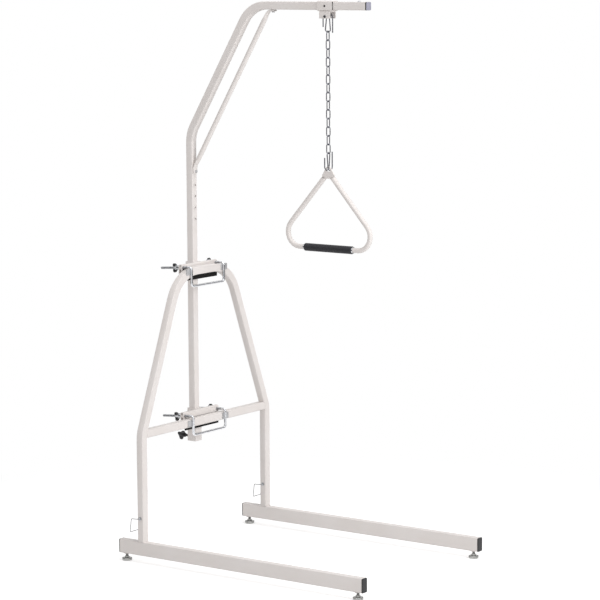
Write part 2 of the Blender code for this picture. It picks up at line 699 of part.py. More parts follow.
def make_brackets(paint, rubber):
    for level, top, bar_z, over in CLAMPS:
        bm = bmesh.new()
        bracket(bm, top)
        body = finish(bm, f"{level}_bracket", paint)
        spacers = bmesh.new()
        middle = (BRACKET_FRONT_X + BRACKET_REAR_X) / 2
        z = rod_height(bar_z, over, middle)
        for y in (-HOOP_HALF_WIDTH, HOOP_HALF_WIDTH):
            front = (BRACKET_FRONT_X - BRACKET_WALL / 2, y, z)
            rear = (BRACKET_REAR_X + BRACKET_WALL / 2, y, z)
            rod(spacers, rear, front, ROD_HOLE + 0.0040, MEDIUM)
        boolean(body, helper(spacers, f"{level}_spacers", paint), 'UNION')
        collar = bmesh.new()
        bottom = SLEEVE_BOTTOM if level == "lower" else top - BRACKET_HEIGHT - COLLAR_PROUD
        block(collar, (MAST_X - SLEEVE / 2, -SLEEVE / 2, bottom),
              (SLEEVE_FRONT_X + BRACKET_WALL / 2, SLEEVE / 2, top + COLLAR_PROUD))
        if level == "lower":
            start = (MAST_X, 0, KNOB_Z)
            end = (MAST_X - SLEEVE / 2 - KNOB_BOSS_LENGTH, 0, KNOB_Z)
            rod(collar, start, end, KNOB_BOSS, MEDIUM)
        boolean(body, helper(collar, f"{level}_collar", paint), 'UNION')
        bores = bmesh.new()
        block(bores, (MAST_X - SLEEVE_BORE / 2, -SLEEVE_BORE / 2, bottom - TUBE),
              (MAST_X + SLEEVE_BORE / 2, SLEEVE_BORE / 2, top + TUBE))
        for y in (-HOOP_HALF_WIDTH, HOOP_HALF_WIDTH):
            front = (BRACKET_FRONT_X + 0.01, y, z)
            rear = (BRACKET_REAR_X - 0.01, y, z)
            rod(bores, rear, front, ROD_HOLE, MEDIUM)
        if level == "lower":
            start = (MAST_X - SLEEVE / 2 - KNOB_BOSS_LENGTH - 0.01, 0, KNOB_Z)
            end = (MAST_X - SLEEVE_BORE / 2 + 0.001, 0, KNOB_Z)
            rod(bores, start, end, KNOB_SCREW + 2 * RUNNING_GAP, MEDIUM)
        boolean(body, helper(bores, f"{level}_bracket_bores", paint))
        bm = bmesh.new()
        low = (PAD_REAR_X, -PAD_HALF_WIDTH, top - PAD_HEIGHT)
        high = (PAD_FRONT_X, PAD_HALF_WIDTH, rod_height(bar_z, over, PAD_REAR_X) - HOOP_ROD / 2 - 2 * GAP)
        block(bm, low, high)
        finish(bm, f"{level}_pad", rubber)


def make_hoops(chrome):
    for level, top, bar_z, over in CLAMPS:
        corner, back = rod_axis(bar_z, over)
        tail = (HOOP_REAR_X - HOOP_FRONT_X) / back.x
        half = []
        y = HOOP_HALF_WIDTH
        half.append((corner + back * tail + Vector((0, y, 0)), 0))
        half.append((corner + Vector((0, y, 0)), HOOP_CORNER))
        half.append((corner + Vector((0, y, -HOOP_DROP)), HOOP_CORNER))
        mirrored = [(Vector((p.x, -p.y, p.z)), bend) for p, bend in reversed(half)]
        bm = bmesh.new()
        round_bar(bm, bent_path(half + mirrored, steps=5), (0, 1, 0), HOOP_ROD, COARSE)
        hoop = finish(bm, f"{level}_hoop", chrome)
        bm = bmesh.new()
        for side in (-1, 1):
            near = side * PLATE_INNER_Y
            far = side * PLATE_OUTER_Y
            low = (TUBE / 2 + GAP, min(near, far), bar_z - PLATE_HEIGHT / 2)
            high = (PLATE_FRONT_X, max(near, far), bar_z + PLATE_HEIGHT / 2)
            block(bm, low, high)
        boolean(hoop, helper(bm, f"{level}_plates", chrome), 'UNION')


def lobed_rows(bm, stations, place, axis, spin, bore=None):
    """Loft a lobed knob along an axis. Stations are (along, share of the full lobes, least radius)."""
    turn = Vector((0, 0, 1)).rotation_difference(Vector(axis)).to_matrix()
    sides = 8 * KNOB_LOBES
    rows = []
    for along, share, least in stations:
        row = []
        for i in range(sides):
            angle = 2 * pi * i / sides
            lobe = KNOB_LOBE * (1 - cos(KNOB_LOBES * angle))
            radius = max((KNOB_RADIUS - lobe) * share, least)
            around = angle + radians(spin)
            spot = Vector((radius * cos(around), radius * sin(around), along))
            row.append(bm.verts.new(Vector(place) + turn @ spot))
        rows.append(row)
    pairs = list(zip(rows, rows[1:]))
    if bore:
        pairs.append((rows[-1], rows[0]))
    else:
        bm.faces.new(rows[0])
        bm.faces.new(rows[-1])
    for first, second in pairs:
        for i in range(sides):
            k = (i + 1) % sides
            bm.faces.new((first[i], first[k], second[k], second[i]))


def knob_shape(start):
    """Rows of the moulded lobes, from the neck end to the domed back."""
    return [(start, 0.0, KNOB_NECK / 2), (start + KNOB_BODY * 0.15, 0.90, KNOB_NECK / 2),
            (start + KNOB_BODY * 0.50, 1.0, KNOB_NECK / 2), (start + KNOB_BODY * 0.85, 0.94, KNOB_NECK / 2),
            (start + KNOB_BODY, 0.70, KNOB_NECK / 2)]


# Clamp knobs: a metal collar and a lobed grip, threaded on the hoops' tails
def make_clamp_knobs(black):
    for level, top, bar_z, over in CLAMPS:
        for side, y in (("left", -HOOP_HALF_WIDTH), ("right", HOOP_HALF_WIDTH)):
            corner, back = rod_axis(bar_z, over)
            lean = COLLAR_DIAMETER / 2 * tan(radians(HOOP_TILT))
            x = BRACKET_REAR_X - GAP - lean
            place = Vector((x, y, rod_height(bar_z, over, x)))
            bore = HOOP_ROD / 2 + RUNNING_GAP
            stations = [(0, 0.0, bore), (0, 0.0, COLLAR_DIAMETER / 2),
                        (COLLAR_LENGTH, 0.0, COLLAR_DIAMETER / 2)] + knob_shape(COLLAR_LENGTH)
            stations.append((COLLAR_LENGTH + KNOB_BODY, 0.0, bore))
            bm = bmesh.new()
            name = f"{level}_{side}"
            lobed_rows(bm, stations, place, back, KNOB_TURNS[name], bore)
            finish(bm, f"{name}_clamp_knob", black, origin=place)


def make_lock_knob(black):
    """Lobed screw that locks the mast in its sleeve, drawn backed off so that the mast can slide."""
    tip = MAST_X - TUBE / 2 - KNOB_BACKED_OFF
    neck = KNOB_FRONT_X - KNOB_BACK_X - KNOB_BODY
    bm = bmesh.new()
    reach = tip - KNOB_FRONT_X
    stations = [(-reach, 0.0, KNOB_SCREW / 2), (0, 0.0, KNOB_SCREW / 2), (0, 0.0, KNOB_NECK / 2)]
    stations += knob_shape(neck)
    lobed_rows(bm, stations, (KNOB_FRONT_X, 0, KNOB_Z), (-1, 0, 0), KNOB_TURNS["lock"])
    finish(bm, "lock_knob", black, origin=(KNOB_BACK_X, 0, KNOB_Z))


# Trolley: a sleeve on the arm with a box hanger and cross pin under it
def make_trolley(paint, steel):
    bm = bmesh.new()
    ends = [Vector((TROLLEY_X - TROLLEY_LENGTH / 2, 0, ARM_Z)),
            Vector((TROLLEY_X + TROLLEY_LENGTH / 2, 0, ARM_Z))]
    wall = (SLEEVE - SLEEVE_BORE) / 2
    square_tube(bm, ends, (0, 0, 1), width=SLEEVE, height=SLEEVE, wall=wall, corner=0.0032)
    sleeve = finish(bm, "trolley_sleeve", paint, origin=(TROLLEY_X, 0, ARM_Z))
    bm = bmesh.new()
    rod(bm, (TROLLEY_X, -SLEEVE, ARM_Z), (TROLLEY_X, -TUBE / 4, ARM_Z),
        TROLLEY_SCREW + 2 * GAP, COARSE)
    boolean(sleeve, helper(bm, "trolley_screw_hole", paint))
    bm = bmesh.new()
    tip = -SLEEVE_BORE / 2 - GAP
    head = -SLEEVE / 2 + 0.0004
    socket = TROLLEY_SCREW_HEAD / 2
    profile = [(0, TROLLEY_SCREW / 2), (tip - head, TROLLEY_SCREW / 2), (tip - head, socket),
               (tip - head - 0.0012, socket)]
    turned(bm, profile, (TROLLEY_X, tip, ARM_Z), (0, -1, 0), COARSE)
    finish(bm, "trolley_screw", steel)

    top = TROLLEY_BOTTOM - GAP
    bottom = top - HANGER_HEIGHT
    middle = (HANGER_REAR_X + HANGER_FRONT_X) / 2
    length = HANGER_FRONT_X - HANGER_REAR_X
    outer = SLEEVE / 2
    inner = outer - HANGER_WALL
    fold = HANGER_FOLD
    web = top - HANGER_WALL
    outline = [(-outer, bottom), (-inner, bottom), (-inner, web), (inner, web), (inner, bottom),
               (outer, bottom), (outer, top - fold), (outer - fold * 0.3, top - fold * 0.3),
               (outer - fold, top), (fold - outer, top), (fold * 0.3 - outer, top - fold * 0.3),
               (-outer, top - fold)]
    bm = bmesh.new()
    prism(bm, outline, length, lambda u, w, d: Vector((middle + d, u, w)))
    hanger = finish(bm, "hook_bracket", paint)
    bm = bmesh.new()
    rod(bm, (HANG_X, -SLEEVE, HANGER_PIN_Z), (HANG_X, SLEEVE, HANGER_PIN_Z),
        HANGER_PIN + 2 * GAP, COARSE)
    boolean(hanger, helper(bm, "hook_pin_hole", paint))
    bm = bmesh.new()
    radius = HANGER_PIN / 2
    face = SLEEVE / 2 + GAP
    head = HANGER_PIN_HEAD / 2
    end = face + HANGER_PIN_HEAD_THICKNESS
    profile = [(-end, head), (-face, head), (-face, radius), (face, radius), (face, head), (end, head)]
    turned(bm, profile, (HANG_X, 0, HANGER_PIN_Z), (0, 1, 0), COARSE)
    finish(bm, "hook_pin", steel)


# Hooks: one wire bent into two arcs side by side and a bend that holds the chain
def arc_centre(offset, radius):
    reach = radius - HOOK_SEAT
    return -sqrt(reach * reach - offset * offset)


def hook_points():
    """Wire path as (across, side, up) from the axis of the pin that the hook hangs on."""
    points = []
    up_a = arc_centre(HOOK_OFFSET_A, HOOK_ARC_A)
    points.append((HOOK_OFFSET_A - HOOK_ARC_A, -HOOK_SIDE, -HOOK_SHORT_END))
    for step in range(9):
        angle = pi - pi * step / 8
        points.append((HOOK_OFFSET_A + HOOK_ARC_A * cos(angle), -HOOK_SIDE,
                       up_a + HOOK_ARC_A * sin(angle)))
    bend_up = -HOOK_LENGTH + HOOK_BEND_DEPTH
    for step in range(9):
        angle = -pi * step / 8
        side = -HOOK_SIDE * cos(pi * step / 8) * 0.9
        points.append((HOOK_BEND * cos(angle), side, bend_up + HOOK_BEND_DEPTH * sin(angle)))
    up_b = arc_centre(HOOK_OFFSET_B, HOOK_ARC_B)
    for step in range(9):
        angle = pi - pi * step / 8
        points.append((HOOK_OFFSET_B + HOOK_ARC_B * cos(angle), HOOK_SIDE,
                       up_b + HOOK_ARC_B * sin(angle)))
    points.append((HOOK_OFFSET_B + HOOK_ARC_B, HOOK_SIDE, -HOOK_LONG_END))
    return points


def make_hooks(steel):
    bm = bmesh.new()
    path = [Vector((HANG_X + u, s, HANGER_PIN_Z + w)) for u, s, w in hook_points()]
    round_bar(bm, path, (0, 1, 0), HOOK_WIRE, WIRE)
    finish(bm, "upper_hook", steel, origin=(HANG_X, 0, HANGER_PIN_Z))
    bm = bmesh.new()
    path = [Vector((HANG_X + s, u, LOWER_HOOK_Z - w)) for u, s, w in hook_points()]
    round_bar(bm, path, (1, 0, 0), HOOK_WIRE, WIRE)
    finish(bm, "lower_hook", steel, origin=(HANG_X, 0, LAST_LINK_BOTTOM))


# Chain links: oval rings, each turned a quarter turn from the last
def link_points(top, in_x):
    radius = (LINK_WIDTH - LINK_WIRE) / 2
    half = LINK_CENTRE_LENGTH / 2 - radius
    middle = top - LINK_CENTRE_LENGTH / 2
    points = []
    for end, start in ((1, 0), (-1, pi)):
        for step in range(6):
            angle = start + pi * step / 5
            across = radius * cos(angle)
            up = middle + end * half + radius * sin(angle)
            points.append(Vector((HANG_X + across, 0, up)) if in_x else Vector((HANG_X, across, up)))
    return points


def make_chain(steel):
    top = FIRST_LINK_TOP
    hinge = HOOK_BOTTOM_Z
    for number in range(1, LINK_COUNT + 1):
        in_x = number % 2 == 0
        bm = bmesh.new()
        normal = (0, 1, 0) if in_x else (1, 0, 0)
        round_bar(bm, link_points(top, in_x), normal, LINK_WIRE, WIRE, closed=True)
        finish(bm, f"chain_link_{number:02d}", steel, origin=(HANG_X, 0, hinge))
        hinge = top - LINK_CENTRE_LENGTH
        top = hinge + LINK_WIRE + GAP


# Grab handle: a tube bent to a triangle, an eye plate in its apex and a grip on its bar
def eye_height():
    """Height of the lower hook's wire where it runs through the eye plate."""
    up = arc_centre(HOOK_OFFSET_A, HOOK_ARC_A)
    wire = up + sqrt(HOOK_ARC_A ** 2 - HOOK_OFFSET_A ** 2)
    return LOWER_HOOK_Z - wire


def eye_outline(grow):
    """Rounded triangle of the eye plate, about the wire's centre, grown by a clearance."""
    top = EYE_ABOVE + grow
    low = -EYE_BELOW - grow
    wide = EYE_HALF_WIDTH + grow
    crown = 0.0090
    points = []
    for step in range(7):
        angle = radians(20 + 140 * step / 6)
        points.append((crown * 1.15 * cos(angle), top - crown + crown * sin(angle)))
    points.append((-wide, low + 0.0100))
    points.append((-wide + 0.0035, low + 0.0035))
    points.append((-0.0050, low))
    points.append((0.0050, low))
    points.append((wide - 0.0035, low + 0.0035))
    points.append((wide, low + 0.0100))
    return points


def make_handle(paint, rubber, chrome):
    eye_z = eye_height()
    apex_z = eye_z - HANDLE_APEX_DROP
    bar_z = eye_z - HANDLE_DROP
    reach = (apex_z - bar_z) * tan(radians(HANDLE_SIDE_ANGLE))
    near = 0.004
    rise = near / tan(radians(HANDLE_SIDE_ANGLE))
    corners = [((HANG_X - near, 0, apex_z - rise), 0), ((HANG_X - reach, 0, bar_z), HANDLE_CORNER),
               ((HANG_X + reach, 0, bar_z), HANDLE_CORNER), ((HANG_X + near, 0, apex_z - rise), 0)]
    bm = bmesh.new()
    outer = circle(ROUND_TUBE, MEDIUM)
    inner = circle(ROUND_TUBE - 2 * ROUND_WALL, MEDIUM)
    sweep(bm, bent_path(corners, steps=8), (0, 1, 0), lambda i: outer, lambda i: inner)
    tube = finish(bm, "handle_tube", paint, origin=(HANG_X, 0, eye_z))

    def place(u, w, d):
        return Vector((HANG_X + u, d, eye_z + w))

    bm = bmesh.new()
    prism(bm, eye_outline(GAP), 2 * ROUND_TUBE, place)
    boolean(tube, helper(bm, "handle_apex_cut", paint))
    bm = bmesh.new()
    prism(bm, eye_outline(0), EYE_THICKNESS, place)
    plate = finish(bm, "handle_eye", paint, origin=(HANG_X, 0, eye_z))
    hole = rounded_square(EYE_HOLE_WIDTH, EYE_HOLE_HEIGHT, EYE_HOLE_HEIGHT / 2 - 0.0002, steps=4)
    bm = bmesh.new()
    prism(bm, hole, 2 * ROUND_TUBE, place)
    boolean(plate, helper(bm, "handle_eye_hole", paint))

    bm = bmesh.new()
    half = GRIP_LENGTH / 2
    bore = ROUND_TUBE / 2 + GAP
    radius = GRIP_DIAMETER / 2
    profile = [(-half, bore), (-half, radius - 0.0015), (-half + 0.0015, radius),
               (half - 0.0015, radius), (half, radius - 0.0015), (half, bore)]
    turned(bm, profile, (HANG_X, 0, bar_z), (1, 0, 0), FINE, ring=True)
    finish(bm, "handle_grip", rubber)
    for name, side in (("left_grip_ring", -1), ("right_grip_ring", 1)):
        bm = bmesh.new()
        start = half + GAP
        end = start + GRIP_RING_LENGTH
        profile = [(start, bore), (start, GRIP_RING / 2), (end, GRIP_RING / 2), (end, bore)]
        turned(bm, profile, (HANG_X, 0, bar_z), (side, 0, 0), MEDIUM, ring=True)
        finish(bm, name, chrome)


def main():
    for obj in list(bpy.data.objects):
        bpy.data.objects.remove(obj)
    paint = material("cream_paint", (0.86, 0.84, 0.80), 0.35)
    black = material("black_plastic", (0.02, 0.02, 0.022), 0.45)
    rubber = material("black_rubber", (0.03, 0.03, 0.032), 0.75)
    steel = material("zinc_plated_steel", (0.62, 0.63, 0.64), 0.35, 1.0)
    chrome = material("bright_chrome", (0.80, 0.81, 0.83), 0.12, 1.0)
    foot = material("foot_steel", (0.55, 0.55, 0.54), 0.40, 0.8)

    make_pin_holes(paint)
    make_rails(paint)
    make_plugs(black)
    make_feet(foot)
    make_frame(paint)
    make_snap_pins(steel)
    make_mast(paint)
    make_brace(paint, steel)
    make_arm_fittings(black, steel)
    make_brackets(paint, rubber)
    make_hoops(chrome)
    make_clamp_knobs(black)
    make_lock_knob(black)
    make_trolley(paint, steel)
    make_hooks(steel)
    make_chain(steel)
    make_handle(paint, rubber, chrome)
    for obj in bpy.data.objects:
        obj.location.x += CENTRE_SHIFT


main()
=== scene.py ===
import json
from math import cos, radians, sin, tan

import bpy
from mathutils import Matrix, Vector


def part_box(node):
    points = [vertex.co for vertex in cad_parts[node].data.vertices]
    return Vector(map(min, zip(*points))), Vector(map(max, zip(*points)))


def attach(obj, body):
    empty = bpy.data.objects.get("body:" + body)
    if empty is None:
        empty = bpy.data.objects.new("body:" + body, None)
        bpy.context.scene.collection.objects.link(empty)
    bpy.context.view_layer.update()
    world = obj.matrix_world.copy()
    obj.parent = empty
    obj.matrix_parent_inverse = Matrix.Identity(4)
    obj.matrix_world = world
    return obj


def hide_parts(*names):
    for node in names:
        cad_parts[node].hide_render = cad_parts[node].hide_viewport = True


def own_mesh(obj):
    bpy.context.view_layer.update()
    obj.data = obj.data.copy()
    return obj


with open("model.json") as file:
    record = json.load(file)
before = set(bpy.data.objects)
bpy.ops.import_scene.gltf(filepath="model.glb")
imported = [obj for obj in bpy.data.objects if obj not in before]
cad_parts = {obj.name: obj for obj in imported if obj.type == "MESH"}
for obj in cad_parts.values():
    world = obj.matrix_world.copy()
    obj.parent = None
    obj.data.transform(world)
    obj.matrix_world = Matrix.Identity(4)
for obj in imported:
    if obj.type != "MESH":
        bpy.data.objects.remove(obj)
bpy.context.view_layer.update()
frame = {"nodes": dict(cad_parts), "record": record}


# Camera: a long lens turned 36 degrees from the side of the stand and a little above its middle.
# Its place and turn are those that put the rails, the bars and the handle where the picture has them.
def middle_of(node):
    """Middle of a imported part's box."""
    low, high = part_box(node)
    return (Vector(low) + Vector(high)) / 2


leg_plane = middle_of("crossbar").x
view_turn = radians(35.966)
view_rise = radians(7.6859)
view_roll = radians(-0.3357)
camera_ahead = 5.05713
camera_aside = -6.44008
camera_height = 1.90567
focal_length = 153.45
film_width = 36
far_limit = 100
backward = Vector((sin(view_turn) * cos(view_rise), -cos(view_turn) * cos(view_rise), sin(view_rise)))
level_right = Vector((cos(view_turn), sin(view_turn), 0))
camera_right = level_right * cos(view_roll) + backward.cross(level_right) * sin(view_roll)
bpy.ops.object.camera_add(location=(leg_plane + camera_ahead, camera_aside, camera_height))
camera = bpy.context.object
camera.name = "studio_camera"
camera.rotation_mode = "QUATERNION"
upright = backward.cross(camera_right)
camera.rotation_quaternion = Matrix((camera_right, upright, backward)).transposed().to_quaternion()
camera.data.lens = focal_length
camera.data.sensor_width = film_width
camera.data.clip_end = far_limit
bpy.context.scene.camera = camera
bpy.context.scene.view_settings.view_transform = "Standard"


# Studio: a white floor that keeps a faint shadow and fades into a white surround, three soft lamps,
# and four dark cards round the stand. Only reflections see the cards, as the dark sides of bright metal.
def seen_or_mirrored(nodes, links):
    """1 for what the camera sees, straight, in metal or through glass; 0 for what lights a surface."""
    rays = nodes.new("ShaderNodeLightPath")
    total = None
    for ray in ("Is Camera Ray", "Is Glossy Ray", "Is Transmission Ray"):
        if total is None:
            total = rays.outputs[ray]
            continue
        either = nodes.new("ShaderNodeMath")
        either.operation = "MAXIMUM"
        links.new(total, either.inputs[0])
        links.new(rays.outputs[ray], either.inputs[1])
        total = either.outputs[0]
    return total


floor_size = 60.0
floor_drop = 0.0005
floor_white = 0.80
floor_glow = 0.46
shadow_reach = 0.85
white_reach = 1.70
bpy.ops.mesh.primitive_plane_add(size=floor_size, location=(0, 0, -floor_drop))
floor = bpy.context.object
floor.name = "studio_floor"
floor_paint = bpy.data.materials.new("studio_floor_white")
floor_paint.use_nodes = True
nodes, links = floor_paint.node_tree.nodes, floor_paint.node_tree.links
nodes.clear()
matt = nodes.new("ShaderNodeBsdfDiffuse")
matt.inputs["Color"].default_value = (floor_white, floor_white, floor_white, 1)
glow = nodes.new("ShaderNodeEmission")
glow.inputs["Strength"].default_value = floor_glow
both = nodes.new("ShaderNodeAddShader")
links.new(matt.outputs[0], both.inputs[0])
links.new(glow.outputs[0], both.inputs[1])
blank = nodes.new("ShaderNodeEmission")
blank.inputs["Strength"].default_value = 1.0
place = nodes.new("ShaderNodeTexCoord")
reach = nodes.new("ShaderNodeVectorMath")
reach.operation = "LENGTH"
fade = nodes.new("ShaderNodeMapRange")
fade.interpolation_type = "SMOOTHSTEP"
fade.inputs["From Min"].default_value = shadow_reach
fade.inputs["From Max"].default_value = white_reach
links.new(place.outputs["Object"], reach.inputs[0])
links.new(reach.outputs["Value"], fade.inputs["Value"])
far = nodes.new("ShaderNodeMixShader")
links.new(fade.outputs["Result"], far.inputs[0])
links.new(both.outputs[0], far.inputs[1])
links.new(blank.outputs[0], far.inputs[2])
pick = nodes.new("ShaderNodeMixShader")
out = nodes.new("ShaderNodeOutputMaterial")
links.new(seen_or_mirrored(nodes, links), pick.inputs[0])
links.new(matt.outputs[0], pick.inputs[1])
links.new(far.outputs[0], pick.inputs[2])
links.new(pick.outputs[0], out.inputs["Surface"])
floor.data.materials.append(floor_paint)

surround = bpy.data.worlds.new("studio_surround")
bpy.context.scene.world = surround
surround.use_nodes = True
nodes, links = surround.node_tree.nodes, surround.node_tree.links
nodes.clear()
white = nodes.new("ShaderNodeBackground")
white.inputs["Color"].default_value = (1, 1, 1, 1)
white.inputs["Strength"].default_value = 1.0
soft = nodes.new("ShaderNodeBackground")
soft.inputs["Color"].default_value = (1.0, 0.98, 0.975, 1)
soft.inputs["Strength"].default_value = 0.52
pick = nodes.new("ShaderNodeMixShader")
out = nodes.new("ShaderNodeOutputWorld")
links.new(seen_or_mirrored(nodes, links), pick.inputs[0])
links.new(soft.outputs[0], pick.inputs[1])
links.new(white.outputs[0], pick.inputs[2])
links.new(pick.outputs[0], out.inputs["Surface"])

lamp_target = Vector((0, 0, 0.9))
for lamp_name, place, size, watts in (("front_lamp", (4.6, -0.9, 2.3), 2.6, 122),
                                      ("top_lamp", (0.4, 0.4, 4.6), 3.2, 52),
                                      ("side_lamp", (-0.5, -4.5, 3.3), 2.6, 30)):
    bpy.ops.object.light_add(type="AREA", location=place)
    lamp = bpy.context.object
    lamp.name = lamp_name
    lamp.data.shape = "DISK"
    lamp.data.size = size
    lamp.data.energy = watts
    lamp.rotation_euler = (Vector(place) - lamp_target).to_track_quat("Z", "Y").to_euler()

card_distance = 3.6
card_size = (4.2, 2.4, 1)
card_middle = Vector((0, 0, 1.25))
card_black = bpy.data.materials.new("studio_card_black")
card_black.use_nodes = True
card_shader = card_black.node_tree.nodes["Principled BSDF"]
card_shader.inputs["Base Color"].default_value = (0.02, 0.02, 0.022, 1)
card_shader.inputs["Roughness"].default_value = 0.9
for number, angle in enumerate((-128, -62, 58, 128)):
    turn = view_turn + radians(angle)
    spot = Vector((sin(turn), -cos(turn), 0)) * card_distance + card_middle
    facing = (spot - card_middle).to_track_quat("Z", "Y").to_euler()
    bpy.ops.mesh.primitive_plane_add(size=1, location=spot, rotation=facing)
    card = bpy.context.object
    card.name = f"studio_card_{number}"
    card.scale = card_size
    card.data.materials.append(card_black)
    card.visible_camera = False
    card.visible_diffuse = False
    card.visible_transmission = False
    card.visible_shadow = False


# Base rails: rectangular steel tubes under cream powder coat, each with the stub that a leg stands
# on and two threaded inserts for the feet. The baked paint has a fine orange peel and a soft sheen.
def powder_coat(name, colour=(0.79, 0.754, 0.736), shade=(0.965, 0.955, 0.945)):
    """Baked paint whose colour clouds a little between colour times shade and colour."""
    mat = bpy.data.materials.new(name)
    mat.use_nodes = True
    nodes, links = mat.node_tree.nodes, mat.node_tree.links
    shader = nodes["Principled BSDF"]
    shader.inputs["Specular IOR Level"].default_value = 0.30
    place = nodes.new("ShaderNodeTexCoord")
    cloud = nodes.new("ShaderNodeTexNoise")
    cloud.inputs["Scale"].default_value = 9.0
    cloud.inputs["Detail"].default_value = 3.0
    tint = nodes.new("ShaderNodeValToRGB")
    tint.color_ramp.elements[0].position = 0.30
    tint.color_ramp.elements[1].position = 0.70
    tint.color_ramp.elements[0].color = (*[c * s for c, s in zip(colour, shade)], 1)
    tint.color_ramp.elements[1].color = (*colour, 1)
    links.new(place.outputs["Object"], cloud.inputs["Vector"])
    links.new(cloud.outputs["Fac"], tint.inputs["Fac"])
    links.new(tint.outputs["Color"], shader.inputs["Base Color"])
    sheen = nodes.new("ShaderNodeMapRange")
    sheen.inputs["To Min"].default_value = 0.38
    sheen.inputs["To Max"].default_value = 0.52
    links.new(cloud.outputs["Fac"], sheen.inputs["Value"])
    links.new(sheen.outputs["Result"], shader.inputs["Roughness"])
    peel = nodes.new("ShaderNodeTexNoise")
    peel.inputs["Scale"].default_value = 420.0
    peel.inputs["Detail"].default_value = 1.0
    bump = nodes.new("ShaderNodeBump")
    bump.inputs["Strength"].default_value = 0.35
    bump.inputs["Distance"].default_value = 0.00002
    links.new(place.outputs["Object"], peel.inputs["Vector"])
    links.new(peel.outputs["Fac"], bump.inputs["Height"])
    links.new(bump.outputs["Normal"], shader.inputs["Normal"])
    return mat


def body_of(node):
    """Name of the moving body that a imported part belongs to."""
    for body, members in frame["record"]["behaviour"]["bodies"].items():
        if node in members:
            return body


def smooth_part(node, name, mat, angle=50):
    """Stand a smooth-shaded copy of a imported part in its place: merged, with its flats kept flat."""
    merge_gap = 0.00002
    flat_angle = radians(0.5)
    source = frame["nodes"][node]
    piece = bpy.data.objects.new(name, source.data.copy())
    bpy.context.scene.collection.objects.link(piece)
    piece.data.materials.clear()
    piece.data.materials.append(mat)
    bpy.ops.object.select_all(action="DESELECT")
    bpy.context.view_layer.objects.active = piece
    piece.select_set(True)
    bpy.ops.object.mode_set(mode="EDIT")
    bpy.ops.mesh.select_all(action="SELECT")
    bpy.ops.mesh.remove_doubles(threshold=merge_gap)
    bpy.ops.mesh.dissolve_limited(angle_limit=flat_angle)
    bpy.ops.object.mode_set(mode="OBJECT")
    bpy.ops.object.shade_smooth_by_angle(angle=radians(angle))
    weigh = piece.modifiers.new("keep_flats_flat", "WEIGHTED_NORMAL")
    weigh.keep_sharp = True
    bpy.ops.object.modifier_apply(modifier=weigh.name)
    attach(piece, body_of(node))
    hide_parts(node)
    return piece


cream = powder_coat("cream_powder_coat")
for side in ("left", "right"):
    smooth_part(f"{side}_rail", f"{side}_rail_painted", cream)


# Rail end plugs: black moulded caps pressed into the four open ends of the rails.
# The plastic is satin, with a fine spark-eroded grain and faintly paler clouds.
def moulded_plastic(name, colour, roughness=0.42, grain=900.0, depth=0.12, shine=0.40):
    """Moulded plastic, vinyl or rubber; grain is the scale of its bump and depth the bump's strength."""
    paler = [value * 1.5 + 0.003 for value in colour]
    mat = bpy.data.materials.new(name)
    mat.use_nodes = True
    nodes, links = mat.node_tree.nodes, mat.node_tree.links
    shader = nodes["Principled BSDF"]
    shader.inputs["Specular IOR Level"].default_value = shine
    place = nodes.new("ShaderNodeTexCoord")
    cloud = nodes.new("ShaderNodeTexNoise")
    cloud.inputs["Scale"].default_value = 60.0
    tint = nodes.new("ShaderNodeValToRGB")
    tint.color_ramp.elements[0].color = (*colour, 1)
    tint.color_ramp.elements[1].color = (*paler, 1)
    links.new(place.outputs["Object"], cloud.inputs["Vector"])
    links.new(cloud.outputs["Fac"], tint.inputs["Fac"])
    links.new(tint.outputs["Color"], shader.inputs["Base Color"])
    sheen = nodes.new("ShaderNodeMapRange")
    sheen.inputs["To Min"].default_value = roughness - 0.05
    sheen.inputs["To Max"].default_value = roughness + 0.08
    links.new(cloud.outputs["Fac"], sheen.inputs["Value"])
    links.new(sheen.outputs["Result"], shader.inputs["Roughness"])
    spark = nodes.new("ShaderNodeTexNoise")
    spark.inputs["Scale"].default_value = grain
    bump = nodes.new("ShaderNodeBump")
    bump.inputs["Strength"].default_value = depth
    bump.inputs["Distance"].default_value = 0.0001
    links.new(place.outputs["Object"], spark.inputs["Vector"])
    links.new(spark.outputs["Fac"], bump.inputs["Height"])
    links.new(bump.outputs["Normal"], shader.inputs["Normal"])
    return mat


black = moulded_plastic("black_moulded_plastic", (0.010, 0.010, 0.012))
for side in ("left", "right"):
    for end in ("rear", "front"):
        smooth_part(f"{side}_{end}_plug", f"{side}_{end}_plug_cap", black)


